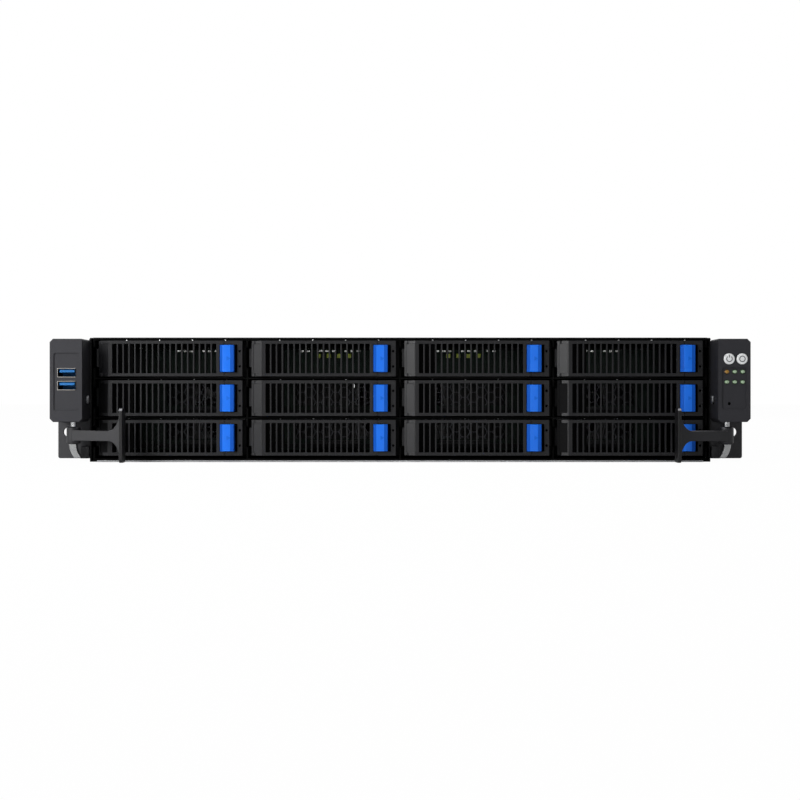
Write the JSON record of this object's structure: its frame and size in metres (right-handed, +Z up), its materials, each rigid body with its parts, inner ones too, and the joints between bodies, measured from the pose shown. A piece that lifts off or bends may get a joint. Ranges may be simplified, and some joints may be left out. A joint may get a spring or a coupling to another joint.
{
  "type": "2u rack server",
  "caption": "Two-unit rack server chassis with slotted hot-swap drive trays, blue latches, folding handles and rear supplies.",
  "frame": {"origin": "middle of the whole length and width, on the plane of the chassis floor", "axes": "+X to the viewer's right, +Y to the rear, +Z up"},
  "size_m": [0.4826, 0.784, 0.0875],
  "materials": {
    "black_steel": "black powder coat, satin",
    "zinc_steel": "galvanised sheet, matt",
    "black_plastic": "moulded black polycarbonate blend",
    "carrier_metal": "black coated tray frame",
    "blue_plastic": "moulded blue plastic",
    "grey_ear": "moulded dark grey plastic",
    "handle_black": "die cast handle, black coat",
    "pin_steel": "bright plated steel",
    "button_white": "translucent white plastic",
    "lamp_plastic": "tinted light pipe",
    "socket_steel": "nickel plated shell",
    "board_green": "glass epoxy board with solder mask",
    "fin_aluminium": "extruded fins, mill finish",
    "fan_plastic": "glass filled black plastic",
    "rotor_plastic": "moulded rotor plastic",
    "psu_steel": "zinc plated case"
  },
  "bodies": {
    "server": {"chassis": "black_steel", "rear_panel": "zinc_steel", "drive_cage": "black_steel", "backplane": "board_green", "mesh_wall": "zinc_steel", "rack_brackets": "black_steel", "ear_cover_left": "grey_ear", "ear_cover_right": "grey_ear", "usb_sockets": "socket_steel", "status_lights": "lamp_plastic", "handle_pins": "pin_steel", "screws_and_studs": "pin_steel", "fan_frames": "fan_plastic", "main_board": "board_green", "memory_modules": "board_green", "heat_sinks": "fin_aluminium"},
    "cover": {"top_cover": "black_steel"},
    "carrier_row1_col1": {"carrier_row1_col1": "carrier_metal"},
    "lever_row1_col1": {"lever_row1_col1": "black_plastic"},
    "latch_row1_col1": {"latch_row1_col1": "blue_plastic"},
    "carrier_row1_col2": {"carrier_row1_col2": "carrier_metal"},
    "lever_row1_col2": {"lever_row1_col2": "black_plastic"},
    "latch_row1_col2": {"latch_row1_col2": "blue_plastic"},
    "carrier_row1_col3": {"carrier_row1_col3": "carrier_metal"},
    "lever_row1_col3": {"lever_row1_col3": "black_plastic"},
    "latch_row1_col3": {"latch_row1_col3": "blue_plastic"},
    "carrier_row1_col4": {"carrier_row1_col4": "carrier_metal"},
    "lever_row1_col4": {"lever_row1_col4": "black_plastic"},
    "latch_row1_col4": {"latch_row1_col4": "blue_plastic"},
    "carrier_row2_col1": {"carrier_row2_col1": "carrier_metal"},
    "latch_row2_col1": {"latch_row2_col1": "blue_plastic"},
    "carrier_row2_col2": {"carrier_row2_col2": "carrier_metal"},
    "lever_row2_col2": {"lever_row2_col2": "black_plastic"},
    "latch_row2_col2": {"latch_row2_col2": "blue_plastic"},
    "carrier_row2_col3": {"carrier_row2_col3": "carrier_metal"},
    "lever_row2_col3": {"lever_row2_col3": "black_plastic"},
    "latch_row2_col3": {"latch_row2_col3": "blue_plastic"},
    "carrier_row2_col4": {"carrier_row2_col4": "carrier_metal"},
    "latch_row2_col4": {"latch_row2_col4": "blue_plastic"},
    "carrier_row3_col1": {"carrier_row3_col1": "carrier_metal"},
    "latch_row3_col1": {"latch_row3_col1": "blue_plastic"},
    "carrier_row3_col2": {"carrier_row3_col2": "carrier_metal"},
    "lever_row3_col2": {"lever_row3_col2": "black_plastic"},
    "latch_row3_col2": {"latch_row3_col2": "blue_plastic"},
    "carrier_row3_col3": {"carrier_row3_col3": "carrier_metal"},
    "lever_row3_col3": {"lever_row3_col3": "black_plastic"},
    "latch_row3_col3": {"latch_row3_col3": "blue_plastic"},
    "carrier_row3_col4": {"carrier_row3_col4": "carrier_metal"},
    "latch_row3_col4": {"latch_row3_col4": "blue_plastic"},
    "handle_left": {"handle_left": "handle_black", "hook_left": "pin_steel"},
    "handle_right": {"handle_right": "handle_black", "hook_right": "pin_steel"},
    "power_button": {"power_button": "button_white"},
    "marker_button": {"marker_button": "button_white"},
    "fan_rotor_1": {"fan_rotor_1": "rotor_plastic"},
    "fan_rotor_2": {"fan_rotor_2": "rotor_plastic"},
    "fan_rotor_3": {"fan_rotor_3": "rotor_plastic"},
    "power_supply_lower": {"power_supply_lower": "psu_steel"},
    "power_supply_upper": {"power_supply_upper": "psu_steel"}
  },
  "joints": [
    {"name": "handle_swing_left", "type": "hinge", "parent": "server", "child": "handle_left", "pos_m": [-0.2278, -0.373, 0.019], "axis": [0, 0, -1], "range_deg": [0, 100]},
    {"name": "handle_swing_right", "type": "hinge", "parent": "server", "child": "handle_right", "pos_m": [0.2278, -0.373, 0.019], "axis": [0, 0, 1], "range_deg": [0, 100]},
    {"name": "cover_slide", "type": "slide", "parent": "server", "child": "cover", "axis": [0, 1, 0], "range_m": [0, 0.012]},
    {"name": "power_button_press", "type": "slide", "parent": "server", "child": "power_button", "axis": [0, 1, 0], "range_m": [0, 0.0012], "stiffness_N_per_m": 800, "springref_m": -0.0015},
    {"name": "marker_button_press", "type": "slide", "parent": "server", "child": "marker_button", "axis": [0, 1, 0], "range_m": [0, 0.0012], "stiffness_N_per_m": 800, "springref_m": -0.0015},
    {"name": "fan_spin_1", "type": "hinge", "parent": "server", "child": "fan_rotor_1", "pos_m": [-0.14, -0.112, 0.0412], "axis": [0, 1, 0], "continuous": true},
    {"name": "fan_spin_2", "type": "hinge", "parent": "server", "child": "fan_rotor_2", "pos_m": [0, -0.112, 0.0412], "axis": [0, 1, 0], "continuous": true},
    {"name": "fan_spin_3", "type": "hinge", "parent": "server", "child": "fan_rotor_3", "pos_m": [0.14, -0.112, 0.0412], "axis": [0, 1, 0], "continuous": true},
    {"name": "power_supply_lower_slide", "type": "slide", "parent": "server", "child": "power_supply_lower", "axis": [0, 1, 0], "range_m": [0, 0.2]},
    {"name": "power_supply_upper_slide", "type": "slide", "parent": "server", "child": "power_supply_upper", "axis": [0, 1, 0], "range_m": [0, 0.2]},
    {"name": "tray_slide_row1_col1", "type": "slide", "parent": "server", "child": "carrier_row1_col1", "axis": [0, -1, 0], "range_m": [0, 0.15]},
    {"name": "lever_swing_row1_col1", "type": "hinge", "parent": "carrier_row1_col1", "child": "lever_row1_col1", "pos_m": [-0.2077, -0.36, 0.0727], "axis": [0, 0, -1], "range_deg": [0, 60]},
    {"name": "latch_press_row1_col1", "type": "slide", "parent": "carrier_row1_col1", "child": "latch_row1_col1", "axis": [1, 0, 0], "range_m": [0, 0.0019], "stiffness_N_per_m": 400, "springref_m": -0.002},
    {"name": "tray_slide_row1_col2", "type": "slide", "parent": "server", "child": "carrier_row1_col2", "axis": [0, -1, 0], "range_m": [0, 0.15]},
    {"name": "lever_swing_row1_col2", "type": "hinge", "parent": "carrier_row1_col2", "child": "lever_row1_col2", "pos_m": [-0.1001, -0.36, 0.0727], "axis": [0, 0, -1], "range_deg": [0, 60]},
    {"name": "latch_press_row1_col2", "type": "slide", "parent": "carrier_row1_col2", "child": "latch_row1_col2", "axis": [1, 0, 0], "range_m": [0, 0.0019], "stiffness_N_per_m": 400, "springref_m": -0.002},
    {"name": "tray_slide_row1_col3", "type": "slide", "parent": "server", "child": "carrier_row1_col3", "axis": [0, -1, 0], "range_m": [0, 0.15]},
    {"name": "lever_swing_row1_col3", "type": "hinge", "parent": "carrier_row1_col3", "child": "lever_row1_col3", "pos_m": [0.0075, -0.36, 0.0727], "axis": [0, 0, -1], "range_deg": [0, 60]},
    {"name": "latch_press_row1_col3", "type": "slide", "parent": "carrier_row1_col3", "child": "latch_row1_col3", "axis": [1, 0, 0], "range_m": [0, 0.0019], "stiffness_N_per_m": 400, "springref_m": -0.002},
    {"name": "tray_slide_row1_col4", "type": "slide", "parent": "server", "child": "carrier_row1_col4", "axis": [0, -1, 0], "range_m": [0, 0.15]},
    {"name": "lever_swing_row1_col4", "type": "hinge", "parent": "carrier_row1_col4", "child": "lever_row1_col4", "pos_m": [0.1151, -0.36, 0.0727], "axis": [0, 0, -1], "range_deg": [0, 60]},
    {"name": "latch_press_row1_col4", "type": "slide", "parent": "carrier_row1_col4", "child": "latch_row1_col4", "axis": [1, 0, 0], "range_m": [0, 0.0019], "stiffness_N_per_m": 400, "springref_m": -0.002},
    {"name": "tray_slide_row2_col1", "type": "slide", "parent": "server", "child": "carrier_row2_col1", "axis": [0, -1, 0], "range_m": [0, 0.007]},
    {"name": "latch_press_row2_col1", "type": "slide", "parent": "carrier_row2_col1", "child": "latch_row2_col1", "axis": [1, 0, 0], "range_m": [0, 0.0019], "stiffness_N_per_m": 400, "springref_m": -0.002},
    {"name": "tray_slide_row2_col2", "type": "slide", "parent": "server", "child": "carrier_row2_col2", "axis": [0, -1, 0], "range_m": [0, 0.15]},
    {"name": "lever_swing_row2_col2", "type": "hinge", "parent": "carrier_row2_col2", "child": "lever_row2_col2", "pos_m": [-0.1001, -0.36, 0.0449], "axis": [0, 0, -1], "range_deg": [0, 60]},
    {"name": "latch_press_row2_col2", "type": "slide", "parent": "carrier_row2_col2", "child": "latch_row2_col2", "axis": [1, 0, 0], "range_m": [0, 0.0019], "stiffness_N_per_m": 400, "springref_m": -0.002},
    {"name": "tray_slide_row2_col3", "type": "slide", "parent": "server", "child": "carrier_row2_col3", "axis": [0, -1, 0], "range_m": [0, 0.15]},
    {"name": "lever_swing_row2_col3", "type": "hinge", "parent": "carrier_row2_col3", "child": "lever_row2_col3", "pos_m": [0.0075, -0.36, 0.0449], "axis": [0, 0, -1], "range_deg": [0, 60]},
    {"name": "latch_press_row2_col3", "type": "slide", "parent": "carrier_row2_col3", "child": "latch_row2_col3", "axis": [1, 0, 0], "range_m": [0, 0.0019], "stiffness_N_per_m": 400, "springref_m": -0.002},
    {"name": "tray_slide_row2_col4", "type": "slide", "parent": "server", "child": "carrier_row2_col4", "axis": [0, -1, 0], "range_m": [0, 0.007]},
    {"name": "latch_press_row2_col4", "type": "slide", "parent": "carrier_row2_col4", "child": "latch_row2_col4", "axis": [1, 0, 0], "range_m": [0, 0.0019], "stiffness_N_per_m": 400, "springref_m": -0.002},
    {"name": "tray_slide_row3_col1", "type": "slide", "parent": "server", "child": "carrier_row3_col1", "axis": [0, -1, 0], "range_m": [0, 0.007]},
    {"name": "latch_press_row3_col1", "type": "slide", "parent": "carrier_row3_col1", "child": "latch_row3_col1", "axis": [1, 0, 0], "range_m": [0, 0.0019], "stiffness_N_per_m": 400, "springref_m": -0.002},
    {"name": "tray_slide_row3_col2", "type": "slide", "parent": "server", "child": "carrier_row3_col2", "axis": [0, -1, 0], "range_m": [0, 0.15]},
    {"name": "lever_swing_row3_col2", "type": "hinge", "parent": "carrier_row3_col2", "child": "lever_row3_col2", "pos_m": [-0.1001, -0.36, 0.0171], "axis": [0, 0, -1], "range_deg": [0, 60]},
    {"name": "latch_press_row3_col2", "type": "slide", "parent": "carrier_row3_col2", "child": "latch_row3_col2", "axis": [1, 0, 0], "range_m": [0, 0.0019], "stiffness_N_per_m": 400, "springref_m": -0.002},
    {"name": "tray_slide_row3_col3", "type": "slide", "parent": "server", "child": "carrier_row3_col3", "axis": [0, -1, 0], "range_m": [0, 0.15]},
    {"name": "lever_swing_row3_col3", "type": "hinge", "parent": "carrier_row3_col3", "child": "lever_row3_col3", "pos_m": [0.0075, -0.36, 0.0171], "axis": [0, 0, -1], "range_deg": [0, 60]},
    {"name": "latch_press_row3_col3", "type": "slide", "parent": "carrier_row3_col3", "child": "latch_row3_col3", "axis": [1, 0, 0], "range_m": [0, 0.0019], "stiffness_N_per_m": 400, "springref_m": -0.002},
    {"name": "tray_slide_row3_col4", "type": "slide", "parent": "server", "child": "carrier_row3_col4", "axis": [0, -1, 0], "range_m": [0, 0.007]},
    {"name": "latch_press_row3_col4", "type": "slide", "parent": "carrier_row3_col4", "child": "latch_row3_col4", "axis": [1, 0, 0], "range_m": [0, 0.0019], "stiffness_N_per_m": 400, "springref_m": -0.002}
  ]
}
